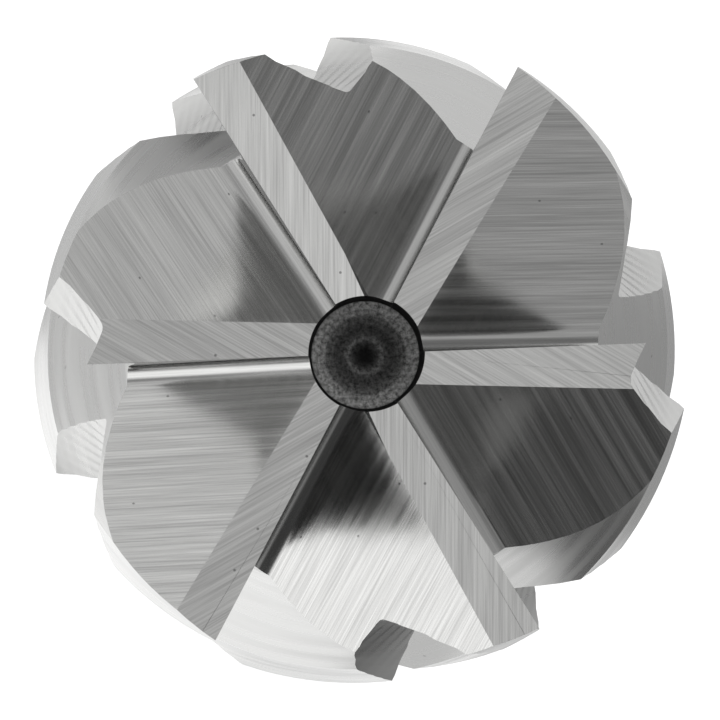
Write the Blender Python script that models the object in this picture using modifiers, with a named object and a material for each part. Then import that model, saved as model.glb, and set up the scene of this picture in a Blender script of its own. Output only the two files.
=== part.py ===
# Carbide burr: a cylindrical, end-cutting head on a plain round shank, ground from one bar of tungsten carbide.
# Metres, +Z up. The burr stands on the flat end of its shank, with its axis on Z and its cutting end up.

import bmesh
import bpy
from math import cos, pi, radians, sin, tan
from mathutils import Matrix, Vector

MM = 0.001

# Head and shank
HEAD_RADIUS = 6.0 * MM
HEAD_LENGTH = 12.5 * MM
SHANK_RADIUS = 4.0 * MM
OVERALL_LENGTH = 50.0 * MM
BACK_CONE_ANGLE = radians(45)
SHANK_CHAMFER = 0.4 * MM

# Six right-hand cutting flutes. Angles inside one flute run clockwise from its cutting edge, seen on the end.
# The flutes are turned a little ahead of the end teeth, so that each gash also grinds a flat on the tooth's face.
TEETH = 6
FLUTE_HELIX = radians(33)
LAND_ANGLE = radians(16)
LAND_HEEL_RADIUS = 5.78 * MM
BACK_CROWN_ANGLE = radians(25)
BACK_CROWN_RADIUS = 5.18 * MM
GULLET_ANGLE = radians(38)
GULLET_RADIUS = 4.40 * MM
CORE_RADIUS = 4.24 * MM
GULLET_FILLET = 0.40 * MM
FACE_LEAD = radians(1.5)

# Four left-hand grooves, which cut the long teeth into short ones. Angles run from the groove's lowest line.
GROOVES = 4
GROOVE_HELIX = radians(32)
GROOVE_FIRST_ANGLE = radians(-8.6)
GROOVE_FLOOR_RADIUS = 4.87 * MM
GROOVE_STEEP_SIDE = radians(-15.5)
GROOVE_FLAT_SIDE = radians(23.5)
GROOVE_ROUNDING = 0.22 * MM

# End teeth: a narrow primary land behind each cutting edge, then the gash that clears it.
PRIMARY_RELIEF = radians(10)
PRIMARY_WIDTH_OUTSIDE = 0.90 * MM
PRIMARY_WIDTH_INSIDE = 0.63 * MM
PRIMARY_INSIDE_RADIUS = 1.5 * MM
GASH_SLOPE = radians(45)
GASH_ROUNDING = 0.17 * MM

# Centre hole in the end face
HOLE_RADIUS = 1.077 * MM
HOLE_FLOOR_RADIUS = 0.995 * MM
HOLE_DEPTH = 1.1 * MM
HOLE_POINT_ANGLE = radians(118)

# Fineness of the curved surfaces
HEAD_RINGS = 40
GROOVE_RINGS = 44
LATHE_STEPS = 96
ROUNDING_STEPS = 4
SHARP_EDGE = radians(24)

MARGIN = 1.0 * MM
EDGE_OVERLAP = 0.3 * MM
CUTTER_REACH = 1.35 * HEAD_RADIUS
TIP_Z = OVERALL_LENGTH
HEAD_BACK_Z = TIP_Z - HEAD_LENGTH
PITCH = 2 * pi / TEETH
FLUTE_TWIST = tan(FLUTE_HELIX) / HEAD_RADIUS
GROOVE_TWIST = -tan(GROOVE_HELIX) / HEAD_RADIUS


def polar(radius, angle):
    return Vector((radius * cos(angle), radius * sin(angle)))


def bezier(start, control, end, steps):
    return [
        start * (1 - t) ** 2 + control * 2 * t * (1 - t) + end * t**2
        for t in (i / steps for i in range(steps + 1))
    ]


def rounded_corner(before, corner, after, radius, steps):
    """Points of an arc that is tangent to both sides of a corner."""
    to_before = (before - corner).normalized()
    to_after = (after - corner).normalized()
    half = to_before.angle(to_after) / 2
    centre = corner + (to_before + to_after).normalized() * (radius / sin(half))
    start = corner + to_before * (radius / tan(half)) - centre
    end = corner + to_after * (radius / tan(half)) - centre
    swing = start.angle_signed(end)
    return [centre + Matrix.Rotation(-swing * i / steps, 2) @ start for i in range(steps + 1)]


def through(start, middle, end):
    """The control point of a curve that passes through middle halfway."""
    return middle * 2 - (start + end) / 2


def collection_named(name):
    collection = bpy.data.collections.new(name)
    bpy.context.scene.collection.children.link(collection)
    return collection


def object_from(name, mesh, collection):
    obj = bpy.data.objects.new(name, mesh)
    collection.objects.link(obj)
    return obj


def twisted_prism(name, outline, bottom, top, twist, rings, collection):
    """A closed outline, given as it lies at the tip, carried down the axis with a turn of twist radians a metre."""
    bm = bmesh.new()
    layers = []
    for ring in range(rings + 1):
        z = bottom + (top - bottom) * ring / rings
        turn = Matrix.Rotation(twist * (z - TIP_Z), 2)
        layers.append([bm.verts.new((*(turn @ point), z)) for point in outline])
    count = len(outline)
    for lower, upper in zip(layers, layers[1:]):
        for i in range(count):
            j = (i + 1) % count
            bm.faces.new((lower[i], lower[j], upper[j], upper[i]))
    bm.faces.new(reversed(layers[0]))
    bm.faces.new(layers[-1])
    bmesh.ops.recalc_face_normals(bm, faces=bm.faces)
    bmesh.ops.triangulate(bm, faces=bm.faces)
    mesh = bpy.data.meshes.new(name)
    bm.to_mesh(mesh)
    bm.free()
    return object_from(name, mesh, collection)


def lathe(name, profile, collection):
    """A turned solid: the profile runs from the axis at the top, down its outer side, to the axis at the bottom."""
    mesh = bpy.data.meshes.new(name)
    points = [(radius, 0, z) for radius, z in profile]
    mesh.from_pydata(points, [(i, i + 1) for i in range(len(points) - 1)], [])
    obj = object_from(name, mesh, collection)
    screw = obj.modifiers.new("Screw", "SCREW")
    screw.axis = "Z"
    screw.steps = LATHE_STEPS
    screw.render_steps = LATHE_STEPS
    screw.use_merge_vertices = True
    screw.merge_threshold = 1e-6
    return obj


def hull(name, corners, collection):
    """The solid between flat faces that has these corners."""
    bm = bmesh.new()
    verts = [bm.verts.new(corner) for corner in corners]
    bmesh.ops.convex_hull(bm, input=verts)
    bmesh.ops.recalc_face_normals(bm, faces=bm.faces)
    mesh = bpy.data.meshes.new(name)
    bm.to_mesh(mesh)
    bm.free()
    return object_from(name, mesh, collection)


def boolean(obj, cutter, operation):
    modifier = obj.modifiers.new(cutter.name, "BOOLEAN")
    modifier.operation = operation
    modifier.object = cutter
    modifier.solver = "EXACT"
    cutter.hide_render = True
    cutter.display_type = "WIRE"


def land_points():
    """The outer land of one tooth, from its cutting edge back to the lower heel."""
    steps = 4
    return [
        polar(
            HEAD_RADIUS + (LAND_HEEL_RADIUS - HEAD_RADIUS) * i / steps,
            -LAND_ANGLE * i / steps,
        )
        for i in range(steps)
    ]


def back_points():
    """The crowned back of the tooth, from the heel down into the gullet."""
    heel = polar(LAND_HEEL_RADIUS, -LAND_ANGLE)
    crown = polar(BACK_CROWN_RADIUS, -BACK_CROWN_ANGLE)
    foot = polar(GULLET_RADIUS, -GULLET_ANGLE)
    return bezier(heel, through(heel, crown, foot), foot, 5)


def gullet_points():
    """The floor of the flute and the round foot of the next tooth's face."""
    next_edge = polar(HEAD_RADIUS, -PITCH)
    corner = polar(CORE_RADIUS, -PITCH)
    middle = polar((GULLET_RADIUS + CORE_RADIUS) / 2, -(GULLET_ANGLE + PITCH) / 2)
    return [middle] + rounded_corner(middle, corner, next_edge, GULLET_FILLET, ROUNDING_STEPS)


def fluted_outline():
    flute = land_points() + back_points() + gullet_points()
    outline = []
    for tooth in range(TEETH):
        turn = Matrix.Rotation(FACE_LEAD - tooth * PITCH, 2)
        outline += [turn @ point for point in flute]
    return outline[::-1]


def groove_outline():
    """One groove's section: a steep side, a rounded floor and a flatter side, open well beyond the head."""
    floor = polar(GROOVE_FLOOR_RADIUS, 0)
    steep = polar(HEAD_RADIUS, GROOVE_STEEP_SIDE)
    flat = polar(HEAD_RADIUS, GROOVE_FLAT_SIDE)
    steep_end = floor + (steep - floor) * (CUTTER_REACH / HEAD_RADIUS) ** 2
    flat_end = floor + (flat - floor) * (CUTTER_REACH / HEAD_RADIUS) ** 2
    lid = polar(CUTTER_REACH * 1.15, (GROOVE_FLAT_SIDE + GROOVE_STEEP_SIDE) / 2)
    return [steep_end, lid, flat_end] + rounded_corner(
        flat_end, floor, steep_end, GROOVE_ROUNDING, ROUNDING_STEPS
    )


def gash_cutter(tooth, collection):
    """The grinding wheel's path between one end tooth and the next, along the next tooth's cutting edge."""
    own = -tooth * PITCH
    back_drop = tan(PRIMARY_RELIEF)
    gash_drop = tan(GASH_SLOPE)
    taper = (PRIMARY_WIDTH_OUTSIDE - PRIMARY_WIDTH_INSIDE) / (HEAD_RADIUS - PRIMARY_INSIDE_RADIUS)
    width_at_axis = PRIMARY_WIDTH_INSIDE - taper * PRIMARY_INSIDE_RADIUS

    def clearance_z(along, behind):
        """Height of the clearance face at a place along the tooth's edge and behind it."""
        width = width_at_axis + taper * along
        return TIP_Z - back_drop * width - gash_drop * (behind - width)

    def at(outward, ahead):
        """A point of the clearance face, by its place along the next tooth's edge and ahead of it."""
        along = outward * cos(PITCH) + ahead * sin(PITCH)
        behind = outward * sin(PITCH) - ahead * cos(PITCH)
        flat = Matrix.Rotation(own - PITCH, 2) @ Vector((outward, ahead))
        return Vector((*flat, clearance_z(along, behind)))

    start, end = at(0, 0), at(CUTTER_REACH, 0)
    run = (end - start) / CUTTER_REACH
    side = (at(0, MARGIN) - start) / MARGIN
    rounding = GASH_ROUNDING
    wall_lift = Vector((0, 0, 1))
    floor_2d = Vector((0, 0))
    slope_2d = Vector((1, side.z))
    section = rounded_corner(Vector((0, MARGIN)), floor_2d, slope_2d, rounding, ROUNDING_STEPS)
    reach = HEAD_RADIUS * 1.2
    section.append(slope_2d * reach)
    section.append(Vector((reach, HEAD_LENGTH)))
    section.append(Vector((0, HEAD_LENGTH)))
    level = Vector((side.x, side.y, 0))
    bm = bmesh.new()
    ends = []
    for outward in (0, CUTTER_REACH):
        foot = start + run * outward
        ends.append([bm.verts.new(foot + level * p.x + wall_lift * p.y) for p in section])
    count = len(section)
    for i in range(count):
        j = (i + 1) % count
        bm.faces.new((ends[0][i], ends[0][j], ends[1][j], ends[1][i]))
    bm.faces.new(ends[0])
    bm.faces.new(reversed(ends[1]))
    bmesh.ops.recalc_face_normals(bm, faces=bm.faces)
    mesh = bpy.data.meshes.new(f"gash_{tooth}")
    bm.to_mesh(mesh)
    bm.free()
    return object_from(f"gash_{tooth}", mesh, collection)


def relief_cutter(tooth, collection):
    """The space over one primary land. It starts ahead of the cutting edge and ends over the gash."""
    turn = Matrix.Rotation(-tooth * PITCH, 2)
    plan = [
        (0, -EDGE_OVERLAP),
        (CUTTER_REACH, -EDGE_OVERLAP),
        (CUTTER_REACH, CUTTER_REACH * sin(PITCH / 2)),
        (0, HOLE_RADIUS / 2),
    ]
    corners = []
    for along, behind in plan:
        flat = turn @ Vector((along, -behind))
        corners.append((*flat, TIP_Z - tan(PRIMARY_RELIEF) * behind))
        corners.append((*flat, TIP_Z + MARGIN))
    return hull(f"relief_{tooth}", corners, collection)


def carbide():
    material = bpy.data.materials.new("carbide")
    material.use_nodes = True
    surface = material.node_tree.nodes["Principled BSDF"]
    surface.inputs["Base Color"].default_value = (0.62, 0.62, 0.61, 1)
    surface.inputs["Metallic"].default_value = 1.0
    surface.inputs["Roughness"].default_value = 0.28
    return material


def apply_and_shade(obj):
    """Makes the cut shape the object's own mesh, smooth on its curved surfaces and sharp at its edges."""
    graph = bpy.context.evaluated_depsgraph_get()
    mesh = bpy.data.meshes.new_from_object(obj.evaluated_get(graph))
    obj.modifiers.clear()
    obj.data = mesh
    mesh.shade_smooth()
    mesh.set_sharp_from_angle(angle=SHARP_EDGE)


def clear_scene():
    for obj in list(bpy.data.objects):
        bpy.data.objects.remove(obj)


def build():
    clear_scene()
    parts = collection_named("carbide_burr")
    tools = collection_named("cutters")

    burr = twisted_prism(
        "burr",
        fluted_outline(),
        HEAD_BACK_Z - MARGIN,
        TIP_Z + EDGE_OVERLAP,
        FLUTE_TWIST,
        HEAD_RINGS,
        parts,
    )
    cone_run = (HEAD_RADIUS + MARGIN - SHANK_RADIUS) / tan(BACK_CONE_ANGLE)
    envelope = lathe(
        "head_envelope",
        [
            (0, TIP_Z + MARGIN),
            (HEAD_RADIUS + MARGIN, TIP_Z + MARGIN),
            (HEAD_RADIUS + MARGIN, HEAD_BACK_Z + cone_run),
            (SHANK_RADIUS, HEAD_BACK_Z),
            (0, HEAD_BACK_Z),
        ],
        tools,
    )
    boolean(burr, envelope, "INTERSECT")

    shank = lathe(
        "shank_bar",
        [
            (0, HEAD_BACK_Z + MARGIN),
            (SHANK_RADIUS, HEAD_BACK_Z + MARGIN),
            (SHANK_RADIUS, SHANK_CHAMFER),
            (SHANK_RADIUS - SHANK_CHAMFER, 0),
            (0, 0),
        ],
        tools,
    )
    boolean(burr, shank, "UNION")

    section = groove_outline()
    for groove in range(GROOVES):
        turn = Matrix.Rotation(GROOVE_FIRST_ANGLE + groove * 2 * pi / GROOVES, 2)
        cutter = twisted_prism(
            f"groove_{groove}",
            [turn @ point for point in section],
            HEAD_BACK_Z - 2 * MARGIN,
            TIP_Z + MARGIN,
            GROOVE_TWIST,
            GROOVE_RINGS,
            tools,
        )
        boolean(burr, cutter, "DIFFERENCE")

    point_depth = HOLE_FLOOR_RADIUS / tan(HOLE_POINT_ANGLE / 2)
    flare = (HOLE_RADIUS - HOLE_FLOOR_RADIUS) / HOLE_DEPTH
    hole = lathe(
        "centre_hole",
        [
            (0, TIP_Z + MARGIN),
            (HOLE_RADIUS + flare * MARGIN, TIP_Z + MARGIN),
            (HOLE_FLOOR_RADIUS, TIP_Z - HOLE_DEPTH),
            (0, TIP_Z - HOLE_DEPTH - point_depth),
        ],
        tools,
    )
    boolean(burr, hole, "DIFFERENCE")

    for tooth in range(TEETH):
        boolean(burr, relief_cutter(tooth, tools), "DIFFERENCE")
        boolean(burr, gash_cutter(tooth, tools), "DIFFERENCE")

    burr.data.materials.append(carbide())
    apply_and_shade(burr)


build()
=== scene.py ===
# Looks of the carbide burr: ground and sintered carbide surfaces, seen square on to the cutting end.
# Metres, +Z up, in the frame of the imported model.

from math import acos, asin, atan2, cos, degrees, hypot, pi, radians, sin, tan

import bmesh
import bpy
import numpy as np
from mathutils import Matrix, Vector


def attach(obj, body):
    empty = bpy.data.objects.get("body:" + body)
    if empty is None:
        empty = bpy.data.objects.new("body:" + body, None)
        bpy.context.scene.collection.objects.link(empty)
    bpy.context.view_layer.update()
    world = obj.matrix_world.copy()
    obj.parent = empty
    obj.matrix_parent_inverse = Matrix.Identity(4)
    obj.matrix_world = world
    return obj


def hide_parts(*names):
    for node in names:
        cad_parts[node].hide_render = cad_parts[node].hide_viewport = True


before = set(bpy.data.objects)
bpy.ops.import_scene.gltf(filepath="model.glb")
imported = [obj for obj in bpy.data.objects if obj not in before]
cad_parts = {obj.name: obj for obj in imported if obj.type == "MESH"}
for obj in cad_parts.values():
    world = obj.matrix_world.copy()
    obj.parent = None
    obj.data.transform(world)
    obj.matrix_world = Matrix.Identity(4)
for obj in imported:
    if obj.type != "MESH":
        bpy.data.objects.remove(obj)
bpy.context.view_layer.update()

MM = 0.001
MICROMETRE = 0.000001

# Sizes of the ground surfaces, as the solid has them
HEAD_RADIUS = 6.0 * MM
TIP_Z = 50.0 * MM
HEAD_BACK_Z = 37.5 * MM
TEETH = 6
PITCH = 2 * pi / TEETH
FLUTE_TWIST = tan(radians(33)) / HEAD_RADIUS
FACE_LEAD = radians(1.5)
LAND_ANGLE = radians(16)
LAND_HEEL_RADIUS = 5.78 * MM
BACK_CROWN_ANGLE = radians(25)
BACK_CROWN_RADIUS = 5.18 * MM
GULLET_ANGLE = radians(38)
GULLET_RADIUS = 4.40 * MM
CORE_RADIUS = 4.24 * MM
GULLET_FILLET = 0.40 * MM
GROOVES = 4
GROOVE_TWIST = -tan(radians(32)) / HEAD_RADIUS
GROOVE_FIRST_ANGLE = radians(-8.6)
GROOVE_FLOOR_RADIUS = 4.87 * MM
GROOVE_STEEP_SIDE = radians(-15.5)
GROOVE_FLAT_SIDE = radians(23.5)
GROOVE_ROUNDING = 0.22 * MM
PRIMARY_RELIEF = radians(10)
HOLE_RADIUS = 1.077 * MM

# Slopes of a gash: its fall outwards along the tooth's face that it ends at, and its rise ahead of that face
GASH_RUN_FALL = 0.841
GASH_SIDE_RISE = 0.543

# Fillets between a gash and that face, shaded wider than the solid's 0.17 mm, and how far from the face edges
# are cut: just before the end of the shading and at its end
FILLET_RADIUS = 0.255 * MM
FILLET_REACH = FILLET_RADIUS * (1 + sin(atan2(GASH_SIDE_RISE, 1)))
FILLET_CUTS = (0.82 * FILLET_REACH, FILLET_REACH)

# Zones of the head that hold its hole, its end teeth and its back cone
HOLE_ZONE = 2.5 * MM
END_TEETH_ZONE = 5 * MM
BACK_CONE_ZONE = 2.2 * MM

# Angles from which an edge between faces, or a joint in a section, stays sharp, and the steps of a rounding
SHARP_EDGE = radians(24)
CREASE = radians(12)
ROUNDING_STEPS = 12

# How far a face may be from the true flutes and grooves, what its lean from them adds to that, and the share
# of the way to its middle at which its corners are measured, which keeps creases sharp
LARGEST_MISFIT = 0.03 * MM
MISFIT_OF_LEAN = 0.05 * MM
INSET = 0.03

# How the marks lie: their turn on a land, the length of a slope for each millimetre across or along the axis,
# and the millimetres of the pattern from one tooth to the next and from a tooth's land to its gash
LAND_MARKS_TURN = radians(-32)
GASH_SLOPE = 1.41
HELIX_SLOPE = 1.2
PATTERN_STEP = 20
GASH_PATTERN = 7

# Camera: a long lens far above the cutting end, leaning a little off the tool's axis
PHOTO_TURN = radians(2.2)
VIEW_DISTANCE = 620 * MM
VIEW_WIDTH = 13.27 * MM
SIGHT_LINE = Vector((0.0221, 0.0224))
FRAME_CENTRE = Vector((-0.122, -0.116)) * MM
SENSOR_WIDTH = 36


def polar(radius, angle):
    """A place in a plane by its distance and direction from the axis."""
    return Vector((radius * cos(angle), radius * sin(angle)))


def wrapped(angle):
    """The same angle between minus and plus half a turn."""
    return (angle + pi) % (2 * pi) - pi


# Sections of the head across its axis, as they lie at the tip

def bezier(start, middle, end, steps):
    """A curve that passes through middle halfway."""
    control = middle * 2 - (start + end) / 2
    return [
        start * (1 - t) ** 2 + control * 2 * t * (1 - t) + end * t**2
        for t in (i / steps for i in range(steps + 1))
    ]


def rounded_corner(before, corner, after, radius, steps):
    """Points of an arc that is tangent to both sides of a corner."""
    to_before = (before - corner).normalized()
    to_after = (after - corner).normalized()
    half = to_before.angle(to_after) / 2
    centre = corner + (to_before + to_after).normalized() * (radius / sin(half))
    start = corner + to_before * (radius / tan(half)) - centre
    end = corner + to_after * (radius / tan(half)) - centre
    swing = start.angle_signed(end)
    return [centre + Matrix.Rotation(-swing * i / steps, 2) @ start for i in range(steps + 1)]


def flute_section():
    """One tooth, from the middle of its land over its back and its gullet to the middle of the next land."""
    steps = 16
    land = [
        polar(HEAD_RADIUS + (LAND_HEEL_RADIUS - HEAD_RADIUS) * i / steps, -LAND_ANGLE * i / steps)
        for i in range(steps + 1)
    ]
    crown = polar(BACK_CROWN_RADIUS, -BACK_CROWN_ANGLE)
    foot = polar(GULLET_RADIUS, -GULLET_ANGLE)
    corner = polar(CORE_RADIUS, -PITCH)
    middle = polar((GULLET_RADIUS + CORE_RADIUS) / 2, -(GULLET_ANGLE + PITCH) / 2)
    next_edge = polar(HEAD_RADIUS, -PITCH)
    gullet = [middle] + rounded_corner(middle, corner, next_edge, GULLET_FILLET, ROUNDING_STEPS)
    half = steps // 2
    next_land = [Matrix.Rotation(-PITCH, 2) @ place for place in land[: half + 1]]
    return land[half:] + bezier(land[-1], crown, foot, steps)[1:] + gullet + next_land


def groove_section():
    """One groove, from the top of its steep side round its floor to the top of its flatter side."""
    past_rim = 1.4
    floor = polar(GROOVE_FLOOR_RADIUS, 0)
    steep = floor + (polar(HEAD_RADIUS, GROOVE_STEEP_SIDE) - floor) * past_rim
    flat = floor + (polar(HEAD_RADIUS, GROOVE_FLAT_SIDE) - floor) * past_rim
    return [flat] + rounded_corner(flat, floor, steep, GROOVE_ROUNDING, ROUNDING_STEPS) + [steep]


def turned(places, angles):
    """Places in a plane, each turned by its own angle about the axis."""
    x = places[:, 0] * np.cos(angles) - places[:, 1] * np.sin(angles)
    y = places[:, 0] * np.sin(angles) + places[:, 1] * np.cos(angles)
    return np.column_stack((x, y))


class Helix:
    """A ground surface that carries one section down the axis, a number of times round it."""

    def __init__(self, section, twist, first, count):
        self.points = np.array([tuple(p) for p in section])
        self.steps = np.diff(self.points, axis=0)
        self.lengths = np.linalg.norm(self.steps, axis=1)
        self.travel = np.concatenate(([0], np.cumsum(self.lengths)))
        runs = self.steps / self.lengths[:, None]
        joints = runs[:-1] + runs[1:]
        joints /= np.linalg.norm(joints, axis=1)[:, None]
        smooth = ((runs[:-1] * runs[1:]).sum(axis=1) > cos(CREASE))[:, None]
        self.starts = np.vstack((runs[:1], np.where(smooth, joints, runs[1:])))
        self.ends = np.vstack((np.where(smooth, joints, runs[:-1]), runs[-1:]))
        bearings = np.arctan2(self.points[:, 1], self.points[:, 0])
        self.middle = (bearings.min() + bearings.max()) / 2
        self.twist = twist
        self.first = first
        self.sector = 2 * pi / count

    def nearest(self, places):
        """For each place: the surface's nearest point, its normal there and the travel along its section."""
        angles = np.arctan2(places[:, 1], places[:, 0])
        turns = self.first + self.twist * (places[:, 2] - TIP_Z)
        start = self.middle - self.sector / 2
        local = (angles - turns - start) % self.sector + start
        radii = np.hypot(places[:, 0], places[:, 1])
        flat = np.stack((radii * np.cos(local), radii * np.sin(local)), axis=1)
        offset = flat[:, None, :] - self.points[None, :-1, :]
        share = np.clip((offset * self.steps).sum(axis=2) / self.lengths**2, 0, 1)
        gap = np.linalg.norm(offset - share[:, :, None] * self.steps, axis=2)
        best = gap.argmin(axis=1)
        rows = np.arange(len(places))
        part = share[rows, best][:, None]
        run = self.starts[best] * (1 - part) + self.ends[best] * part
        run /= np.linalg.norm(run, axis=1)[:, None]
        climb = self.twist * (run * flat).sum(axis=1)
        spin = angles - local
        foot = self.points[best] + part * self.steps[best]
        points = np.column_stack((turned(foot, spin), places[:, 2]))
        outward = np.column_stack((-run[:, 1], run[:, 0]))
        normals = np.column_stack((turned(outward, spin), -climb))
        normals /= np.linalg.norm(normals, axis=1)[:, None]
        travel = self.travel[best] + part[:, 0] * self.lengths[best]
        return points, normals, travel


FLUTES = Helix(flute_section(), FLUTE_TWIST, FACE_LEAD, TEETH)
CROSS_GROOVES = Helix(groove_section(), GROOVE_TWIST, GROOVE_FIRST_ANGLE, GROOVES)


# Which grinding wheel made each face, and the direction of its marks
KINDS = (
    "land",
    "gash",
    "face",
    "fillet",
    "flute",
    "groove",
    "hole_wall",
    "hole_bottom",
    "back",
    "shank",
    "end",
)


def kind_of(centre, normal):
    """The surface that a face belongs to, or "helix" for a flute or groove, and the tooth that it serves."""
    radius = hypot(centre.x, centre.y)
    if radius < HOLE_RADIUS * 1.03 and TIP_Z - HOLE_ZONE < centre.z < TIP_Z - 0.05 * MM:
        # The wall is nearly upright, and the drill point's cone ends short of it
        if abs(normal.z) < 0.3:
            return "hole_wall", 0
        if radius < HOLE_RADIUS * 0.93:
            return "hole_bottom", 0
    if centre.z < HEAD_BACK_Z - 0.001 * MM:
        return ("end" if normal.z < -0.5 else "shank"), 0
    if normal.z < -0.6 and centre.z < HEAD_BACK_Z + BACK_CONE_ZONE:
        return "back", 0
    # A land is tipped back by its relief, a gash by about 45 degrees, and a tooth's face is upright
    bearing = atan2(normal.y, normal.x)
    tilt = hypot(normal.x, normal.y)
    for tooth in range(TEETH):
        behind = wrapped(bearing - (-tooth * PITCH - pi / 2))
        ahead = wrapped(bearing - (-tooth * PITCH + pi / 2))
        if abs(tilt - sin(PRIMARY_RELIEF)) < 0.004 and abs(behind) < radians(2) and normal.z > 0:
            return "land", tooth
        if centre.z < TIP_Z - END_TEETH_ZONE:
            continue
        if 0.6 < tilt < 0.8 and abs(behind) < radians(6) and normal.z > 0.6:
            return "gash", tooth
        if tilt > 0.9995 and abs(ahead) < radians(0.5):
            return "face", tooth
    return "helix", 0


def grind_place(kind, tooth, point, about, travel):
    """A place on a surface in millimetres: first along the marks, then across them."""
    radius = hypot(point.x, point.y)
    angle = about + wrapped(atan2(point.y, point.x) - about)
    if kind in ("land", "gash", "face"):
        turn = {"land": LAND_MARKS_TURN, "gash": -PITCH, "face": 0}[kind] - tooth * PITCH
        flat = Matrix.Rotation(-turn, 2) @ Vector((point.x, point.y))
        if kind == "land":
            return flat.x / MM, flat.y / MM + PATTERN_STEP * tooth
        if kind == "gash":
            return flat.x / MM, GASH_SLOPE * flat.y / MM + PATTERN_STEP * tooth + GASH_PATTERN
        return flat.x / MM, point.z / MM + PATTERN_STEP * tooth
    if kind in ("flute", "groove"):
        return point.z * HELIX_SLOPE / MM, travel / MM
    if kind == "hole_bottom":
        return point.x / MM, point.y / MM
    return angle * radius / MM, (point.z + radius) / MM


def edge_beside(point):
    """Directions along and ahead of the end tooth's edge that a point lies ahead of."""
    angle = atan2(point.y, point.x) % (2 * pi)
    edge = angle - angle % PITCH
    along = Vector((cos(edge), sin(edge), 0))
    return along, Vector((-along.y, along.x, 0))


def fillet_normal(point, along, ahead):
    """The normal of the rounding between a tooth's face and the gash before it, which falls away outwards."""
    swing = acos(max(-1.0, 1 - max(point.dot(ahead), 0) / FILLET_RADIUS))
    return (ahead * cos(swing) + (Vector((0, 0, 1)) + along * GASH_RUN_FALL) * sin(swing)).normalized()


def cut_beside_fillets(bm):
    """Adds edges to the gashes where the shading of the fillets ends."""
    for tooth in range(TEETH):
        along = Vector((cos(tooth * PITCH), sin(tooth * PITCH), 0))
        ahead = Vector((-along.y, along.x, 0))
        for distance in FILLET_CUTS:
            sector = []
            for face in bm.faces:
                centre = face.calc_center_median()
                if kind_of(centre, face.normal)[0] == "gash" and edge_beside(centre)[0].dot(along) > 0.9:
                    sector.append(face)
            bounds = {edge for face in sector for edge in face.edges}
            corners = {vert for face in sector for vert in face.verts}
            bmesh.ops.bisect_plane(
                bm,
                geom=sector + list(bounds) + list(corners),
                plane_co=ahead * distance,
                plane_no=ahead,
                dist=1e-6,
            )


def sort_faces(mesh):
    """Gives each face its material and its places by the marks, and returns the true normals of its corners.

    A corner keeps its smooth normal where the one returned is zero.
    """
    loops = mesh.loops
    corners = np.array([mesh.vertices[loop.vertex_index].co for loop in loops])
    inward = np.array([mesh.polygons[0].center] * len(loops))
    for polygon in mesh.polygons:
        inward[list(polygon.loop_indices)] = polygon.center
    inset = corners + (inward - corners) * INSET
    found = [surface.nearest(inset) for surface in (FLUTES, CROSS_GROOVES)]
    centres = np.array([polygon.center for polygon in mesh.polygons])
    flats = np.array([polygon.normal for polygon in mesh.polygons])
    misfits = []
    for surface in (FLUTES, CROSS_GROOVES):
        points, true_normals = surface.nearest(centres)[:2]
        gap = np.linalg.norm(points - centres, axis=1)
        misfits.append(gap + MISFIT_OF_LEAN * (1 - (true_normals * flats).sum(axis=1)))
    places = mesh.uv_layers.new(name="grind")
    normals = np.zeros((len(loops), 3))
    for polygon in mesh.polygons:
        kind, tooth = kind_of(polygon.center, polygon.normal)
        which = 0
        if kind == "helix":
            which = int(misfits[1][polygon.index] < misfits[0][polygon.index])
            kind = ("flute", "groove")[which]
            if misfits[which][polygon.index] > LARGEST_MISFIT:
                kind = "fillet"
        along, ahead = edge_beside(polygon.center)
        if kind == "gash" and polygon.center.dot(ahead) < FILLET_REACH:
            kind = "fillet"
        polygon.material_index = KINDS.index(kind)
        about = atan2(polygon.center.y, polygon.center.x)
        for loop in polygon.loop_indices:
            corner = Vector(corners[loop])
            place = grind_place(kind, tooth, corner, about, found[which][2][loop])
            if kind in ("flute", "groove"):
                normals[loop] = found[which][1][loop]
            elif kind in ("land", "gash", "face", "end"):
                normals[loop] = polygon.normal
            elif kind == "fillet":
                normals[loop] = fillet_normal(corner, along, ahead)
                place = (corner.dot(along) / MM, corner.dot(ahead) / MM + PATTERN_STEP * tooth)
            places.data[loop].uv = place
    return normals


def ground_burr():
    """The burr with its faces sorted by how they were made."""
    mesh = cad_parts["burr"].data.copy()
    mesh.name = "burr_ground"
    bm = bmesh.new()
    bm.from_mesh(mesh)
    bmesh.ops.remove_doubles(bm, verts=bm.verts, dist=1e-7)
    bmesh.ops.dissolve_degenerate(bm, edges=bm.edges, dist=1e-7)
    for layer in list(bm.loops.layers.uv):
        bm.loops.layers.uv.remove(layer)
    cut_beside_fillets(bm)
    bm.to_mesh(mesh)
    bm.free()
    mesh.materials.clear()
    for kind in KINDS:
        mesh.materials.append(turned_bottom() if kind == "hole_bottom" else carbide(kind))
    mesh.shade_smooth()
    mesh.set_sharp_from_angle(angle=SHARP_EDGE)
    mesh.normals_split_custom_set(sort_faces(mesh))
    burr = bpy.data.objects.new("burr_ground", mesh)
    bpy.context.scene.collection.objects.link(burr)
    return burr


# Materials

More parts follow.
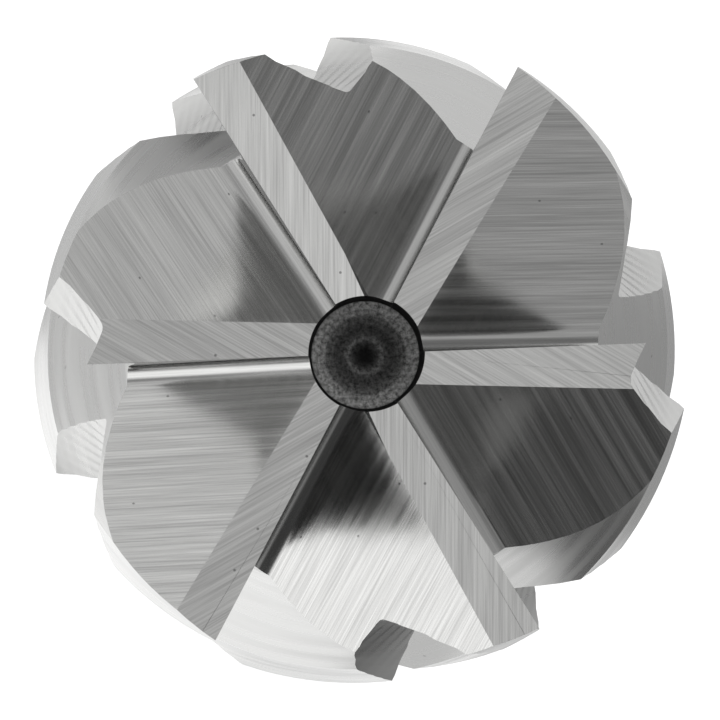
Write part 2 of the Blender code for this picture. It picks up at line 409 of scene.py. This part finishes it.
class Nodes:
    """A short way to write the nodes of a material or a world."""

    def __init__(self, owner):
        owner.use_nodes = True
        self.tree = owner.node_tree
        self.surface = self.tree.nodes.get("Principled BSDF")

    def add(self, kind, inputs=(), **settings):
        node = self.tree.nodes.new(kind)
        for name, value in settings.items():
            setattr(node, name, value)
        for name, value in dict(inputs).items():
            self.put(node.inputs[name], value)
        return node

    def put(self, socket, value):
        if isinstance(value, bpy.types.NodeSocket):
            self.tree.links.new(value, socket)
        else:
            socket.default_value = value

    def math(self, operation, a, b=0.0):
        node = self.add("ShaderNodeMath", operation=operation)
        self.put(node.inputs[0], a)
        self.put(node.inputs[1], b)
        return node.outputs[0]

    def marks(self, place, per_mm_along, per_mm_across, detail=3.0):
        """Streaks that run along the first direction of a place."""
        scaled = self.add(
            "ShaderNodeMapping",
            {"Vector": place, "Scale": (per_mm_along, per_mm_across, 1)},
        )
        noise = self.add(
            "ShaderNodeTexNoise",
            {"Vector": scaled.outputs["Vector"], "Scale": 1.0, "Detail": detail, "Roughness": 0.6},
            noise_dimensions="2D",
        )
        return noise.outputs[0]

    def ramp(self, value, low, high, start=0.0, end=1.0):
        """A value between two limits, spread out to run from start to end."""
        node = self.add(
            "ShaderNodeMapRange",
            {"Value": value, "From Min": low, "From Max": high, "To Min": start, "To Max": end},
        )
        return node.outputs["Result"]

    def spread(self, noise, start, end):
        """A noise, which keeps near its middle, spread out to run from start to end."""
        return self.ramp(noise, 0.3, 0.7, start, end)

    def seen(self):
        """One for a ray from the camera, a mirror or glass, and zero for a ray that only lights things."""
        rays = self.add("ShaderNodeLightPath")
        direct = self.math("MAXIMUM", rays.outputs["Is Camera Ray"], rays.outputs["Is Glossy Ray"])
        return self.math("MAXIMUM", direct, rays.outputs["Is Transmission Ray"])

    def grey(self, value, tint=(1.0, 1.0, 0.985)):
        """A nearly neutral colour of a given brightness."""
        node = self.add("ShaderNodeCombineColor")
        for name, share in zip(("Red", "Green", "Blue"), tint):
            self.put(node.inputs[name], self.math("MULTIPLY", value, share))
        return node.outputs["Color"]


# Painted shade of the centre hole's bottom, darker inwards: its brightness by distance from the axis in
# millimetres, its two ends first
HOLE_SHADE_TONES = (
    (0.0, 0.006),
    (1.0, 0.15),
    (0.14, 0.010),
    (0.22, 0.030),
    (0.33, 0.070),
    (0.40, 0.048),
    (0.64, 0.078),
    (0.76, 0.175),
    (0.95, 0.205),
)

# Per surface: brightness, roughness, how much rougher it is across the marks than along them, the contrast of
# the marks, their height in micrometres, and marks per millimetre across. The low brightness of the teeth's
# faces is painted shade on what they reflect, and that of the hole's wall is painted shade in the hole: the
# same carbide as the rest, painted darker.
FINISHES_AND_SHADE = {
    "land": (0.60, 0.20, 0.5, 0.10, 0.9, 24),
    "gash": (0.60, 0.20, 0.8, 0.11, 0.5, 22),
    # Painted shade: the teeth's faces are darker than the rest of the carbide
    "face": (0.20, 0.26, 0.0, 0.04, 0.8, 16),
    "fillet": (0.60, 0.18, 0.8, 0.06, 0.2, 22),
    "flute": (0.60, 0.28, 0.0, 0.01, 0.0, 14),
    "groove": (0.60, 0.30, 0.0, 0.01, 0.0, 14),
    # Painted shade: the hole's wall is nearly black
    "hole_wall": (0.03, 0.60, 0.0, 0.01, 1.0, 9),
    "back": (0.58, 0.30, 0.0, 0.05, 1.0, 12),
    "shank": (0.62, 0.20, 0.0, 0.04, 0.4, 16),
    "end": (0.56, 0.34, 0.0, 0.05, 1.2, 10),
}

# Pits of the sintered carbide: how many in a millimetre, and the rims of one as shares of their spacing
PITS_PER_MM = 0.45
PIT_INSIDE = 0.008
PIT_OUTSIDE = 0.014


def carbide(kind):
    """Ground carbide, with the marks of its wheel and a few pits, and painted shade on the teeth's faces and
    the hole's wall.
    """
    brightness, roughness, across, contrast, height, per_mm = FINISHES_AND_SHADE[kind]
    material = bpy.data.materials.new(f"carbide_{kind}")
    nodes = Nodes(material)
    place = nodes.add("ShaderNodeUVMap", uv_map="grind").outputs["UV"]
    fine = nodes.marks(place, 0.4, per_mm, 5.0)
    broad = nodes.marks(place, 0.12, per_mm / 5, 2.0)
    pits = nodes.add(
        "ShaderNodeTexVoronoi",
        {"Vector": place, "Scale": PITS_PER_MM},
        voronoi_dimensions="2D",
    )
    pitted = nodes.ramp(pits.outputs["Distance"], PIT_INSIDE, PIT_OUTSIDE, 0.45, 1.0)
    tone = nodes.math(
        "ADD",
        nodes.spread(fine, -contrast, contrast),
        nodes.spread(broad, -contrast / 2, contrast / 2),
    )
    # For the teeth's faces and the hole's wall this brightness is painted shade
    tone = nodes.math("MULTIPLY", nodes.math("ADD", tone, brightness), pitted)
    surface = nodes.surface
    nodes.put(surface.inputs["Base Color"], nodes.grey(tone))
    nodes.put(surface.inputs["Metallic"], 1.0)
    nodes.put(surface.inputs["Roughness"], nodes.spread(broad, roughness - 0.04, roughness + 0.06))
    if across:
        along = nodes.add("ShaderNodeTangent", direction_type="UV_MAP", uv_map="grind")
        nodes.put(surface.inputs["Tangent"], along.outputs["Tangent"])
        nodes.put(surface.inputs["Anisotropic"], across)
        nodes.put(surface.inputs["Anisotropic Rotation"], 0.25)
    if height:
        bump = nodes.add(
            "ShaderNodeBump",
            {"Strength": 1.0, "Distance": height * MICROMETRE, "Height": fine},
        )
        nodes.put(surface.inputs["Normal"], bump.outputs["Normal"])
    return material


def turned_bottom():
    """The centre hole's dull bottom: painted shade, darker inwards, with turned rings and the grain of
    sintered carbide.
    """
    material = bpy.data.materials.new("carbide_hole_bottom")
    nodes = Nodes(material)
    place = nodes.add("ShaderNodeUVMap", uv_map="grind").outputs["UV"]
    radius = nodes.add("ShaderNodeVectorMath", {0: place}, operation="LENGTH").outputs["Value"]
    rings = nodes.add(
        "ShaderNodeTexNoise",
        {"W": radius, "Scale": 5.0, "Detail": 4.0},
        noise_dimensions="1D",
    )
    grain = nodes.add(
        "ShaderNodeTexNoise",
        {"Vector": place, "Scale": 13.0, "Detail": 4.0, "Roughness": 0.7},
        noise_dimensions="2D",
    )
    # Painted shade: the bottom's brightness falls towards the deep middle of the hole
    hole_shade = nodes.add("ShaderNodeFloatCurve", {"Value": radius})
    curve = hole_shade.mapping.curves[0]
    for i, (at, tone) in enumerate(HOLE_SHADE_TONES):
        if i < 2:
            curve.points[i].location = (at, tone)
        else:
            curve.points.new(at, tone)
    hole_shade.mapping.update()
    tone = hole_shade.outputs["Value"]
    for noise, low, high in ((rings, 0.5, 1.5), (grain, 0.3, 1.8)):
        tone = nodes.math("MULTIPLY", tone, nodes.spread(noise.outputs[0], low, high))
    surface = nodes.surface
    nodes.put(surface.inputs["Base Color"], nodes.grey(tone))
    nodes.put(surface.inputs["Metallic"], 0.0)
    nodes.put(surface.inputs["Specular IOR Level"], 0.1)
    nodes.put(surface.inputs["Roughness"], 0.7)
    return material


# Studio
FLOOR_GLOW = 0.45


def white_world():
    """A white world, a little weaker as a light than as it is seen."""
    world = bpy.data.worlds.new("white")
    bpy.context.scene.world = world
    nodes = Nodes(world)
    background = nodes.tree.nodes["Background"]
    nodes.put(background.inputs["Color"], (1, 1, 1, 1))
    nodes.put(background.inputs["Strength"], nodes.ramp(nodes.seen(), 0.0, 1.0, 0.85, 1.0))


def white_floor():
    """A pale floor that shows white where nothing shades it."""
    mesh = bpy.data.meshes.new("floor")
    reach = 3.0
    corners = [(-reach, -reach, 0), (reach, -reach, 0), (reach, reach, 0), (-reach, reach, 0)]
    mesh.from_pydata(corners, [], [(0, 1, 2, 3)])
    floor = bpy.data.objects.new("floor", mesh)
    bpy.context.scene.collection.objects.link(floor)
    material = bpy.data.materials.new("floor")
    nodes = Nodes(material)
    surface = nodes.surface
    nodes.put(surface.inputs["Base Color"], (0.85, 0.85, 0.85, 1))
    nodes.put(surface.inputs["Roughness"], 1.0)
    nodes.put(surface.inputs["Specular IOR Level"], 0.0)
    nodes.put(surface.inputs["Emission Color"], (1, 1, 1, 1))
    nodes.put(surface.inputs["Emission Strength"], nodes.math("MULTIPLY", nodes.seen(), FLOOR_GLOW))
    mesh.materials.append(material)


# Light tent: a dome round the head on a flat bottom just over the floor
TENT_RADIUS = 110 * MM
TENT_BOTTOM_Z = 0.3 * MM
TENT_AROUND = 120
TENT_BOTTOM_RINGS = 40
TENT_DOME_RINGS = 60

# Greys of its cloth, the elevations where its top begins and its bottom ends, and how soft those borders are.
# Directions are in degrees, from a place in the head.
TENT_CENTRE = Vector((0, 0, TIP_Z - 3 * MM))
TENT_TOP = 0.56
TENT_TOP_FROM = 35
TENT_TOP_EDGE = 20
TENT_SIDE = 0.62
TENT_BOTTOM = 1.15
TENT_BOTTOM_TO = -35
TENT_BOTTOM_EDGE = 12

# Panels hung in it, and how soft their borders are
TENT_EDGE = 7
TENT_PANELS = (
    # middle azimuth, half width, lowest and highest elevation, grey
    (-156, 18, -35, 20, 1.42),
    (-108, 30, -26, 25, 0.06),
    (-64, 13, -40, 20, 0.28),
    (-32, 20, -12, 20, 0.40),
    (-36, 20, -40, -12, 0.25),
    (2, 14, -25, 20, 0.50),
    (33, 20, -12, 20, 0.21),
    (33, 20, -40, -12, 1.10),
    (65, 11, -25, 20, 0.20),
    (91, 15, -12, 20, 0.63),
    (92, 16, -40, -12, 0.25),
    (118, 12, -25, 20, 0.40),
    (150, 20, -12, 20, 0.72),
    (150, 22, -40, -12, 1.70),
    (178, 9, -25, 20, 0.35),
    (-150, 34, -82, -38, 1.28),
    (-108, 12, -65, -38, 0.75),
    (-86, 8, -64, -38, 0.95),
    (-62, 15, -64, -38, 0.12),
    (-40, 9, -70, -38, 0.37),
    (-8, 25, -84, -42, 0.37),
    (40, 20, -84, -42, 0.75),
    (67, 8, -75, -42, 1.05),
    (88, 10, -60, -42, 0.04),
    (94, 14, -80, -60, 0.60),
    (106, 10, -60, -42, 0.42),
    (142, 24, -84, -42, 0.62),
    (32, 30, 60, 80, 0.88),
    (-118, 45, 60, 80, 0.70),
)


def soft_step(distance, edge):
    """One inside a border, zero beyond its soft edge."""
    share = min(max(0.5 - distance / edge, 0), 1)
    return share * share * (3 - 2 * share)


def tent_grey(direction):
    """How bright the cloth is in a direction from the head."""
    azimuth = atan2(direction.y, direction.x) + PHOTO_TURN
    elevation = degrees(asin(direction.z))
    grey = TENT_SIDE
    grey += (TENT_TOP - grey) * soft_step(TENT_TOP_FROM - elevation, TENT_TOP_EDGE)
    grey += (TENT_BOTTOM - grey) * soft_step(elevation - TENT_BOTTOM_TO, TENT_BOTTOM_EDGE)
    for middle, half, low, high, panel in TENT_PANELS:
        aside = abs(degrees(wrapped(azimuth - radians(middle)))) - half
        share = soft_step(aside, TENT_EDGE)
        share *= soft_step(low - elevation, TENT_EDGE) * soft_step(elevation - high, TENT_EDGE)
        grey += (panel - grey) * share
    return grey


def tent_form():
    """The tent's bottom and dome as one mesh."""
    rings = []
    for step in range(1, TENT_BOTTOM_RINGS + 1):
        rings.append((TENT_RADIUS * step / TENT_BOTTOM_RINGS, TENT_BOTTOM_Z))
    foot = asin((TENT_BOTTOM_Z - TIP_Z) / TENT_RADIUS)
    rings[-1] = (TENT_RADIUS * cos(foot), TENT_BOTTOM_Z)
    for step in range(1, TENT_DOME_RINGS):
        lift = foot + (pi / 2 - foot) * step / TENT_DOME_RINGS
        rings.append((TENT_RADIUS * cos(lift), TIP_Z + TENT_RADIUS * sin(lift)))
    points = []
    for radius, z in rings:
        for i in range(TENT_AROUND):
            angle = 2 * pi * i / TENT_AROUND
            points.append((radius * cos(angle), radius * sin(angle), z))
    faces = []
    for ring in range(len(rings) - 1):
        low = ring * TENT_AROUND
        high = low + TENT_AROUND
        for i in range(TENT_AROUND):
            j = (i + 1) % TENT_AROUND
            faces.append((low + i, low + j, high + j, high + i))
    mesh = bpy.data.meshes.new("light_tent")
    mesh.from_pydata(points, [], faces)
    return mesh


def tent_cloth():
    """Cloth that glows with the mesh's own greys and sends nothing back."""
    material = bpy.data.materials.new("tent_cloth")
    nodes = Nodes(material)
    cloth = nodes.add("ShaderNodeAttribute", attribute_name="grey")
    surface = nodes.surface
    nodes.put(surface.inputs["Base Color"], (0, 0, 0, 1))
    nodes.put(surface.inputs["Specular IOR Level"], 0.0)
    nodes.put(surface.inputs["Emission Color"], (1, 1, 1, 1))
    nodes.put(surface.inputs["Emission Strength"], cloth.outputs["Fac"])
    return material


def light_tent():
    """A cloth tent that only reflections see, as the one round a small shiny thing in a studio."""
    mesh = tent_form()
    greys = mesh.attributes.new("grey", "FLOAT", "POINT")
    for i, vert in enumerate(mesh.vertices):
        greys.data[i].value = tent_grey((vert.co - TENT_CENTRE).normalized())
    mesh.materials.append(tent_cloth())
    tent = bpy.data.objects.new("light_tent", mesh)
    bpy.context.scene.collection.objects.link(tent)
    tent.visible_camera = False
    tent.visible_diffuse = False
    tent.visible_shadow = False
    tent.visible_transmission = False


def key_light():
    """A soft lamp beside the camera, which reflections don't see."""
    lamp = bpy.data.lights.new("key", "AREA")
    lamp.shape = "DISK"
    lamp.size = 0.4
    lamp.energy = 1.2
    key = bpy.data.objects.new("key", lamp)
    bpy.context.scene.collection.objects.link(key)
    key.location = (0.25, 0.3, 0.75)
    key.rotation_mode = "QUATERNION"
    key.rotation_quaternion = (Vector((0, 0, TIP_Z)) - key.location).to_track_quat("-Z", "Y")
    key.visible_glossy = False


def photo_camera():
    """The photograph's camera, turned a little about its line of sight."""
    roll = Matrix.Rotation(-PHOTO_TURN, 2)
    centre = roll @ FRAME_CENTRE
    lean = roll @ SIGHT_LINE
    sight = Vector((lean.x, lean.y, -1)).normalized()
    camera = bpy.data.cameras.new("photo_camera")
    camera.sensor_width = SENSOR_WIDTH
    camera.lens = SENSOR_WIDTH * VIEW_DISTANCE / VIEW_WIDTH
    camera.clip_start = 0.05
    camera.clip_end = 20
    holder = bpy.data.objects.new("photo_camera", camera)
    bpy.context.scene.collection.objects.link(holder)
    location = Vector((centre.x, centre.y, TIP_Z)) - sight * VIEW_DISTANCE
    up = roll @ Vector((0, 1))
    back = -sight
    right = Vector((up.x, up.y, 0)).cross(back).normalized()
    true_up = back.cross(right)
    turn = Matrix((right, true_up, back)).transposed().to_4x4()
    holder.matrix_world = Matrix.Translation(location) @ turn
    bpy.context.scene.camera = holder


bpy.context.scene.view_settings.view_transform = "Standard"
burr = ground_burr()
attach(burr, "root")
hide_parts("burr")
white_world()
white_floor()
light_tent()
key_light()
photo_camera()
